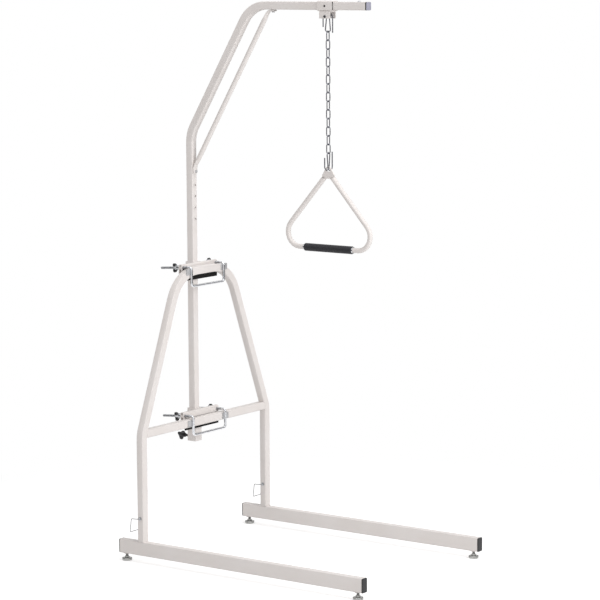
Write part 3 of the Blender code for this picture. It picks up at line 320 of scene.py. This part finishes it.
# Levelling feet: zinc-plated steel discs with a rounded rim, each with a hexagon to turn it by
# and a threaded stem that screws up into the rail.
def plated_steel(name, colour, roughness=0.30, pitch=None, metallic=1.0):
    """Plated steel with duller clouds; a pitch draws threads along Z instead of the fine bump."""
    duller = [value * 0.72 for value in colour]
    mat = bpy.data.materials.new(name)
    mat.use_nodes = True
    nodes, links = mat.node_tree.nodes, mat.node_tree.links
    shader = nodes["Principled BSDF"]
    shader.inputs["Metallic"].default_value = metallic
    place = nodes.new("ShaderNodeTexCoord")
    cloud = nodes.new("ShaderNodeTexNoise")
    cloud.inputs["Scale"].default_value = 140.0
    cloud.inputs["Detail"].default_value = 4.0
    tint = nodes.new("ShaderNodeValToRGB")
    tint.color_ramp.elements[0].position = 0.25
    tint.color_ramp.elements[0].color = (*duller, 1)
    tint.color_ramp.elements[1].position = 0.65
    tint.color_ramp.elements[1].color = (*colour, 1)
    links.new(place.outputs["Object"], cloud.inputs["Vector"])
    links.new(cloud.outputs["Fac"], tint.inputs["Fac"])
    links.new(tint.outputs["Color"], shader.inputs["Base Color"])
    sheen = nodes.new("ShaderNodeMapRange")
    sheen.inputs["To Min"].default_value = roughness - 0.08
    sheen.inputs["To Max"].default_value = roughness + 0.10
    links.new(cloud.outputs["Fac"], sheen.inputs["Value"])
    links.new(sheen.outputs["Result"], shader.inputs["Roughness"])
    bump = nodes.new("ShaderNodeBump")
    if pitch:
        along = nodes.new("ShaderNodeVectorMath")
        along.operation = "DOT_PRODUCT"
        along.inputs[1].default_value = (0, 0, 1)
        wave = nodes.new("ShaderNodeMath")
        wave.operation = "PINGPONG"
        wave.inputs[1].default_value = pitch / 2
        links.new(place.outputs["Object"], along.inputs[0])
        links.new(along.outputs["Value"], wave.inputs[0])
        links.new(wave.outputs[0], bump.inputs["Height"])
        bump.inputs["Strength"].default_value = 0.9
        bump.inputs["Distance"].default_value = 1.0
    else:
        links.new(cloud.outputs["Fac"], bump.inputs["Height"])
        bump.inputs["Strength"].default_value = 0.10
        bump.inputs["Distance"].default_value = 0.0004
    links.new(bump.outputs["Normal"], shader.inputs["Normal"])
    return mat


def start_piece(name):
    """Select and name the mesh that was added last."""
    bpy.ops.object.select_all(action="DESELECT")
    piece = bpy.context.object
    piece.select_set(True)
    piece.name = name
    piece.data.name = name
    return piece


def close_piece(piece, mat, angle=40):
    """Close the ends, turn the faces out and put the piece's place into its mesh."""
    merge_gap = 0.000005
    bpy.ops.mesh.select_all(action="SELECT")
    bpy.ops.mesh.remove_doubles(threshold=merge_gap)
    bpy.ops.mesh.fill_holes(sides=0)
    bpy.ops.mesh.select_all(action="SELECT")
    bpy.ops.mesh.normals_make_consistent(inside=False)
    bpy.ops.object.mode_set(mode="OBJECT")
    bpy.ops.object.transform_apply(location=True, rotation=True, scale=True)
    bpy.ops.object.shade_smooth_by_angle(angle=radians(angle))
    piece.data.materials.append(mat)
    return piece


def turn_piece(name, profile, place, axis, mat, sides=32, angle=40):
    """Turn a closed solid on a lathe: profile rows are (distance along the axis, radius)."""
    place, axis = Vector(place), Vector(axis).normalized()
    spot = place + axis * profile[0][0]
    bpy.ops.mesh.primitive_circle_add(vertices=sides, radius=profile[0][1], location=spot,
                                      rotation=axis.to_track_quat("Z", "Y").to_euler())
    piece = start_piece(name)
    bpy.ops.object.mode_set(mode="EDIT")
    bpy.ops.mesh.select_all(action="SELECT")
    for (before, wide), (along, radius) in zip(profile, profile[1:]):
        bpy.ops.mesh.extrude_region_move(TRANSFORM_OT_translate={"value": axis * (along - before)})
        share = radius / wide
        bpy.ops.transform.resize(value=(share, share, share), center_override=place + axis * along)
    return close_piece(piece, mat, angle)


foot_grey = (0.44, 0.44, 0.43)
foot_steel = plated_steel("foot_plated_steel", foot_grey, roughness=0.32)
stem_thread = plated_steel("stem_thread_steel", foot_grey, roughness=0.36, pitch=0.0015)
pad_profile = [(0.0, 0.0135), (0.0004, 0.0147), (0.0012, 0.0157), (0.0022, 0.0160), (0.0066, 0.0160),
               (0.0078, 0.0156), (0.0087, 0.0146), (0.0092, 0.0128), (0.0095, 0.0090)]
hexagon_profile = [(0.0093, 0.0068), (0.0097, 0.0076), (0.0136, 0.0076), (0.0141, 0.0066)]
stem_profile = [(0.014, 0.0045), (0.049, 0.0045), (0.050, 0.0036)]
up = (0, 0, 1)
for side in ("left", "right"):
    for end in ("rear", "front"):
        foot = f"{side}_{end}_foot"
        x, y = middle_of(foot).xy
        spot = (x, y, 0)
        pad = turn_piece(f"{foot}_pad", pad_profile, spot, up, foot_steel, sides=40, angle=30)
        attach(pad, foot)
        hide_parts(foot)
        hexagon = turn_piece(f"{foot}_hexagon", hexagon_profile, spot, up, foot_steel, sides=6, angle=20)
        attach(hexagon, foot)
        stem = turn_piece(f"{foot}_stem", stem_profile, spot, up, stem_thread, sides=24)
        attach(stem, foot)


# Upright frame: one square tube bent four times, with a coped crossbar welded between its legs.
# The beads round the crossbar's two ends are ground by hand and painted over.
smooth_part("stand_frame", "stand_frame_painted", cream)
smooth_part("crossbar", "crossbar_painted", cream)


def bend_rod(name, corners, thickness, mat, sides=16, steps=8, closed=False):
    """Bend a round rod as on a bench: draw each straight run, then turn it about each former.
    Corners are (x, y, z, bend radius); a closed ring starts and ends on its first point."""
    shortest_run = 0.00005
    least_bend = 0.001
    points = [Vector(corner[:3]) for corner in corners]
    if closed:
        points.append(points[0])
    ahead = (points[1] - points[0]).normalized()
    bpy.ops.mesh.primitive_circle_add(vertices=sides, radius=thickness / 2, location=points[0],
                                      rotation=ahead.to_track_quat("Z", "Y").to_euler())
    rod = start_piece(name)
    bpy.ops.object.mode_set(mode="EDIT")
    bpy.ops.mesh.select_all(action="SELECT")
    spot = points[0].copy()
    for number in range(1, len(points) - 1):
        after = (points[number + 1] - points[number]).normalized()
        bend = ahead.angle(after)
        former = corners[number][3]
        run = former * tan(bend / 2)
        stop = points[number] - ahead * run
        if (stop - spot).length > shortest_run:
            bpy.ops.mesh.extrude_region_move(TRANSFORM_OT_translate={"value": stop - spot})
        if bend > least_bend:
            square = ahead.cross(after).normalized()
            hub = stop + square.cross(ahead) * former
            bpy.ops.mesh.spin(steps=steps, angle=-bend, center=hub, axis=square)
        spot = points[number] + after * run
        ahead = after
    bpy.ops.mesh.extrude_region_move(TRANSFORM_OT_translate={"value": points[-1] - spot})
    return close_piece(rod, mat)


bead = 0.0026
bead_corner = 0.003
tube_half = 0.0127
leg_outside = 0.3235
crossbar_height = 0.4132
weld_front = leg_plane + tube_half
weld_back = leg_plane - tube_half
weld_top = crossbar_height + tube_half
weld_bottom = crossbar_height - tube_half
for side, y in (("left", -leg_outside + tube_half), ("right", leg_outside - tube_half)):
    ring = [(weld_front, y, crossbar_height, 0), (weld_front, y, weld_top, bead_corner),
            (weld_back, y, weld_top, bead_corner), (weld_back, y, weld_bottom, bead_corner),
            (weld_front, y, weld_bottom, bead_corner)]
    weld = bend_rod(f"{side}_crossbar_weld", ring, bead, cream, sides=8, steps=3, closed=True)
    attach(weld, "stand")


# Snap pins: a zinc-plated pin through each leg and its stub, held by a bent wire bail that
# swings on the pin's two hollow ends.
zinc = plated_steel("zinc_plated_steel", (0.55, 0.56, 0.58), roughness=0.24)
spring_wire = plated_steel("bail_spring_wire", (0.30, 0.305, 0.32), roughness=0.28)
for side in ("left", "right"):
    smooth_part(f"{side}_snap_pin", f"{side}_snap_pin_plated", zinc, angle=32)
    smooth_part(f"{side}_snap_bail", f"{side}_snap_bail_wire", spring_wire, angle=70)


# Mast: one square tube bent towards the bed and level again as the arm. Painted bushes stand
# in four pairs of holes, and a round brace, flattened at both ends, is screwed under the bend.
smooth_part("mast_tube", "mast_tube_painted", cream)
smooth_part("brace", "brace_painted", cream, angle=60)
dull_zinc = plated_steel("dull_zinc_steel", (0.58, 0.58, 0.59), roughness=0.55, metallic=0.45)
for end in ("lower", "upper"):
    smooth_part(f"{end}_brace_screw", f"{end}_brace_screw_plated", dull_zinc, angle=32)


# Brackets: box sections welded to the collars that the mast slides in, with black rubber pads
# that keep them off the frame's bars. The lower pad reaches under its bar, where its edge shows.
for level in ("upper", "lower"):
    smooth_part(f"{level}_bracket", f"{level}_bracket_painted", cream)
rubber = moulded_plastic("black_rubber", (0.008, 0.008, 0.008), roughness=0.72, grain=500.0, depth=0.3,
                         shine=0.15)
smooth_part("upper_pad", "upper_pad_rubber", rubber)


def rounded_block(name, middle, size, rounding, segments, mat):
    """A block of the given size with all its edges rounded."""
    bpy.ops.mesh.primitive_cube_add(size=1, location=middle, scale=size)
    block = start_piece(name)
    bpy.ops.object.mode_set(mode="EDIT")
    bpy.ops.mesh.select_all(action="SELECT")
    bpy.ops.mesh.bevel(offset=rounding, segments=segments, affect="EDGES")
    return close_piece(block, mat)


pad_low, pad_high = (Vector(corner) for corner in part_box("lower_pad"))
pad_top = 0.4254
pad_bottom = 0.3868
pad_middle = ((pad_low.x + pad_high.x) / 2, 0, (pad_top + pad_bottom) / 2)
pad_size = (pad_high.x - pad_low.x, pad_high.y - pad_low.y, pad_top - pad_bottom)
pad = rounded_block("lower_pad_rubber", pad_middle, pad_size, 0.0006, 3, rubber)
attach(pad, body_of("lower_pad"))
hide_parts("lower_pad")


# Hoops: bright chromed rods bent over the bars, with threaded tails and thin wear plates welded
# inside their legs.
chrome = plated_steel("bright_chrome", (0.82, 0.83, 0.86), roughness=0.16)
tail_thread = plated_steel("tail_thread_steel", (0.46, 0.465, 0.48), roughness=0.28)
hoop_tilt = radians(4.3)
hoop_front = leg_plane + 0.0182
hoop_corner = 0.0095
hoop_drop = 0.0612
rod_width = 0.0080
hoop_half = 0.0840
hoop_tops = {}
for level in ("upper", "lower"):
    hoop_tops[level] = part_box(f"{level}_hoop")[0][2] + rod_width / 2 + hoop_drop
bar_heights = {"upper": 0.9043, "lower": crossbar_height}
plate_size = (0.0020, 0.0315, 0.0210)
plate_ahead = 0.0140
plate_outward = 1.0744
tail_end = leg_plane - 0.1050
thread_start = leg_plane + 0.0040
thread_pitch = 0.0014
tail_chamfer = 0.0004
thread_length = (thread_start - tail_end) / cos(hoop_tilt) - tail_chamfer
thread_turns = int(thread_length / thread_pitch)
shank_radius = 0.0039
crest = 0.0040
groove = 0.0036
tip_radius = 0.0032
tail_profile = [(0, shank_radius)]
for turn in range(thread_turns):
    root = thread_length - (thread_turns - turn) * thread_pitch
    tail_profile += [(root + 0.0002, groove), (root + 0.0006, groove), (root + 0.0008, crest),
                     (root + 0.0012, crest)]
tail_profile.append((thread_length + tail_chamfer, tip_radius))


def on_rod(x, y, top):
    """Point of a hoop's sloping rod at x, where top is the height of its front end."""
    return (x, y, top - (hoop_front - x) * tan(hoop_tilt))


for level, top in hoop_tops.items():
    bottom = top - hoop_drop
    bends = [(*on_rod(thread_start, -hoop_half, top), 0), (hoop_front, -hoop_half, top, hoop_corner),
             (hoop_front, -hoop_half, bottom, hoop_corner), (hoop_front, hoop_half, bottom, hoop_corner),
             (hoop_front, hoop_half, top, hoop_corner), (*on_rod(thread_start, hoop_half, top), 0)]
    hoop = bend_rod(f"{level}_hoop_wire", bends, rod_width, chrome, sides=24, steps=8)
    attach(hoop, f"{level}_hoop")
    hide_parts(f"{level}_hoop")
    for side, y in (("left", -hoop_half), ("right", hoop_half)):
        tail = turn_piece(f"{level}_{side}_hoop_tail", tail_profile, on_rod(thread_start, y, top),
                          (-cos(hoop_tilt), 0, -sin(hoop_tilt)), tail_thread, sides=24, angle=20)
        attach(tail, f"{level}_hoop")
        plate_middle = (leg_plane + plate_ahead, y * plate_outward, bar_heights[level])
        plate = rounded_block(f"{level}_{side}_wear_plate", plate_middle, plate_size, 0.0005, 2, dull_zinc)
        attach(plate, f"{level}_hoop")


# Clamp knobs: plated die-cast knobs threaded on the hoops' tails, each with a collar towards the
# bracket and three lobes whose tips are dipped in black plastic.
def dipped_knob(name, y, height):
    """Plated metal near the tail's axis and black plastic beyond the dip line."""
    dip_radius = 0.0092
    dip_edge = 0.0002
    mat = plated_steel(name, (0.60, 0.61, 0.63), roughness=0.24)
    nodes, links = mat.node_tree.nodes, mat.node_tree.links
    shader = nodes["Principled BSDF"]
    place = nodes.new("ShaderNodeTexCoord")
    centred = nodes.new("ShaderNodeMapping")
    centred.inputs["Location"].default_value = (0, -y, -height)
    across = nodes.new("ShaderNodeVectorMath")
    across.operation = "MULTIPLY"
    across.inputs[1].default_value = (0, 1, 1)
    radius = nodes.new("ShaderNodeVectorMath")
    radius.operation = "LENGTH"
    dip = nodes.new("ShaderNodeMapRange")
    dip.inputs["From Min"].default_value = dip_radius - dip_edge
    dip.inputs["From Max"].default_value = dip_radius + dip_edge
    links.new(place.outputs["Object"], centred.inputs["Vector"])
    links.new(centred.outputs["Vector"], across.inputs[0])
    links.new(across.outputs["Vector"], radius.inputs[0])
    links.new(radius.outputs["Value"], dip.inputs["Value"])
    for kind, name_of_input, plastic in (("RGBA", "Base Color", (0.010, 0.010, 0.012, 1)),
                                         ("FLOAT", "Metallic", 0.0)):
        target = shader.inputs[name_of_input]
        mix = nodes.new("ShaderNodeMix")
        mix.data_type = kind
        plain, dipped = [end for end in mix.inputs if end.enabled and end.name in "AB"]
        if target.links:
            links.new(target.links[0].from_socket, plain)
        else:
            plain.default_value = target.default_value
        dipped.default_value = plastic
        links.new(dip.outputs["Result"], mix.inputs["Factor"])
        result = [end for end in mix.outputs if end.enabled][0]
        links.new(result, target)
    return mat


for level in ("upper", "lower"):
    for side, y in (("left", -hoop_half), ("right", hoop_half)):
        knob = f"{level}_{side}_clamp_knob"
        height = hoop_tops[level] - (hoop_front - middle_of(knob).x) * tan(hoop_tilt)
        smooth_part(knob, f"{knob}_dipped", dipped_knob(f"{knob}_finish", y, height), angle=40)


# Lock knob: a black three-lobed knob moulded on a screw that holds the mast in its sleeve.
smooth_part("lock_knob", "lock_knob_moulded", black, angle=60)


# Arm fittings: a black end cap whose face towards the front lamp is painted pale grey as a painted
# highlight, and the steel button that stops the trolley.
cap = smooth_part("arm_end_plug", "arm_end_cap", black)
# Painted highlight: the cap's faces turned towards +X and the front lamp take a pale grey plastic instead
# of black.
painted_highlight_face = moulded_plastic("cap_face_painted_highlight", (0.27, 0.27, 0.33), roughness=0.22, shine=0.5)
cap.data.materials.append(painted_highlight_face)
least_lit_facing = 0.35
for face in cap.data.polygons:
    if face.normal.x > least_lit_facing:
        face.material_index = 1
smooth_part("stop_button", "stop_button_plated", zinc, angle=32)
leaf = smooth_part("stop_spring", "stop_spring_leaf", spring_wire)
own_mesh(leaf)


# Trolley: a painted sleeve on the arm with a channel hanger welded under it for the hook's pin.
# A dark socket screw sits in its near side, and the ends of two black wear strips show at its front;
# their black also stands in for painted shade on the sleeve's end face and in its gap round the arm.
smooth_part("trolley_sleeve", "trolley_sleeve_painted", cream)
smooth_part("hook_bracket", "hook_bracket_painted", cream)
smooth_part("hook_pin", "hook_pin_plated", zinc, angle=32)
sleeve_low, sleeve_high = (Vector(corner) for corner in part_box("trolley_sleeve"))
hanger_low, hanger_high = (Vector(corner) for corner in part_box("hook_bracket"))
weld_inset = 0.0006
weld_margin = 0.001
for side, y in (("left", sleeve_low.y + weld_inset), ("right", sleeve_high.y - weld_inset)):
    line = [(hanger_low.x + weld_margin, y, sleeve_low.z, 0),
            (hanger_high.x - weld_margin, y, sleeve_low.z, 0)]
    weld = bend_rod(f"{side}_hanger_weld", line, bead, cream, sides=10)
    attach(weld, "trolley")
screw_spot = middle_of("trolley_screw")
screw_profile = [(0.0001, 0.0022), (0.0006, 0.0032), (0.0009, 0.0032), (0.0013, 0.0028), (0.0013, 0.0015),
                 (0.0004, 0.0014)]
screw_foot = (screw_spot.x, sleeve_low.y, screw_spot.z)
screw = turn_piece("trolley_screw_socket", screw_profile, screw_foot, (0, -1, 0), black, sides=28, angle=30)
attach(screw, "trolley")
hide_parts("trolley_screw")
# Black strips at the sleeve's front end: wear strips, and also painted shade of the end face and of the gap
# round the arm.
strip_size = (0.0010, 0.0022, 0.0270)
strip_inset = 0.0016
strip_ahead = 0.0006
for side, y in (("left", sleeve_low.y + strip_inset), ("right", sleeve_high.y - strip_inset)):
    strip_middle = (sleeve_high.x + strip_ahead, y, screw_spot.z)
    strip = rounded_block(f"{side}_wear_and_shade_strip", strip_middle, strip_size, 0.0003, 2, black)
    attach(strip, "trolley")


# Hooks: one plated wire bent into two arcs side by side and a round bend that holds the chain.
# The lower hook is the same wire turned over and a quarter turn round.
hang = middle_of("hook_pin")
wire = 0.0036
hook_tail = 0.0500
hook_bends = [(-0.0155, -0.0034, -0.0325, 0), (-0.0155, -0.0034, 0.00625, 0.0115),
              (0.0075, -0.0034, 0.00625, 0.0115), (0.0118, -0.0032, -0.0430, 0.0040),
              (0, 0, -0.0490, 0.0050), (-0.0118, 0.0032, -0.0430, 0.0040),
              (-0.0063, 0.0034, 0.00698, 0.0108), (0.0153, 0.0034, 0.00698, 0.0108),
              (0.0153, 0.0034, -hook_tail, 0)]
lower_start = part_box("lower_hook")[1][2] - hook_tail
upper_bends = [(hang.x + u, s, hang.z + w, bend) for u, s, w, bend in hook_bends]
lower_bends = [(hang.x + s, u, lower_start - w, bend) for u, s, w, bend in hook_bends]
chain_steel = plated_steel("chain_plated_steel", (0.27, 0.275, 0.305), roughness=0.22)
for hook, bends in (("upper_hook", upper_bends), ("lower_hook", lower_bends)):
    piece = bend_rod(f"{hook}_wire", bends, wire, chain_steel, sides=16, steps=10)
    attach(piece, hook)
    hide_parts(hook)


# Chain: fourteen welded links of plated wire, each turned a quarter turn from the last.
# A small bulge on one side of each link is where its wire was butt welded.
link_wire = 0.0032
link_long = 0.0302
link_reach = 0.0065
link_count = 14
seam_half = 0.0008
seam_end = 0.0020
seam_swell = 0.12
for number in range(1, link_count + 1):
    middle = middle_of(f"chain_link_{number:02d}").z
    in_x = number % 2 == 0
    outline = [(link_reach, 0, 0), (link_reach, seam_half, 0), (link_reach, seam_end, 0),
               (link_reach, link_long / 2, link_reach), (-link_reach, link_long / 2, link_reach),
               (-link_reach, -link_long / 2, link_reach), (link_reach, -link_long / 2, link_reach),
               (link_reach, -seam_end, 0), (link_reach, -seam_half, 0)]
    ring = [(hang.x + (u if in_x else 0), 0 if in_x else u, middle + w, bend) for u, w, bend in outline]
    link = bend_rod(f"chain_link_{number:02d}_wire", ring, link_wire, chain_steel, sides=14, steps=6,
                    closed=True)
    seam = Vector((hang.x + (link_reach if in_x else 0), 0 if in_x else link_reach, middle))
    for vertex in link.data.vertices:
        off = vertex.co - seam
        if off.length < seam_end + 0.0001 and abs(off.z) < seam_half + 0.0002:
            vertex.co += Vector((off.x, off.y, 0)) * seam_swell
    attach(link, f"link_{number:02d}")
    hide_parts(f"chain_link_{number:02d}")


# Handle: a painted round tube bent to a triangle, closed at the top by a welded eye plate,
# with a ribbed black grip and a bright ring at each end of it.
smooth_part("handle_tube", "handle_tube_painted", cream, angle=60)
smooth_part("handle_eye", "handle_eye_painted", cream)
vinyl = moulded_plastic("grip_black_vinyl", (0.019, 0.019, 0.023), roughness=0.58, grain=700.0, depth=0.2,
                        shine=0.30)
smooth_part("handle_grip", "handle_grip_vinyl", vinyl, angle=32)
for side in ("left", "right"):
    smooth_part(f"{side}_grip_ring", f"{side}_grip_ring_plated", chrome, angle=32)
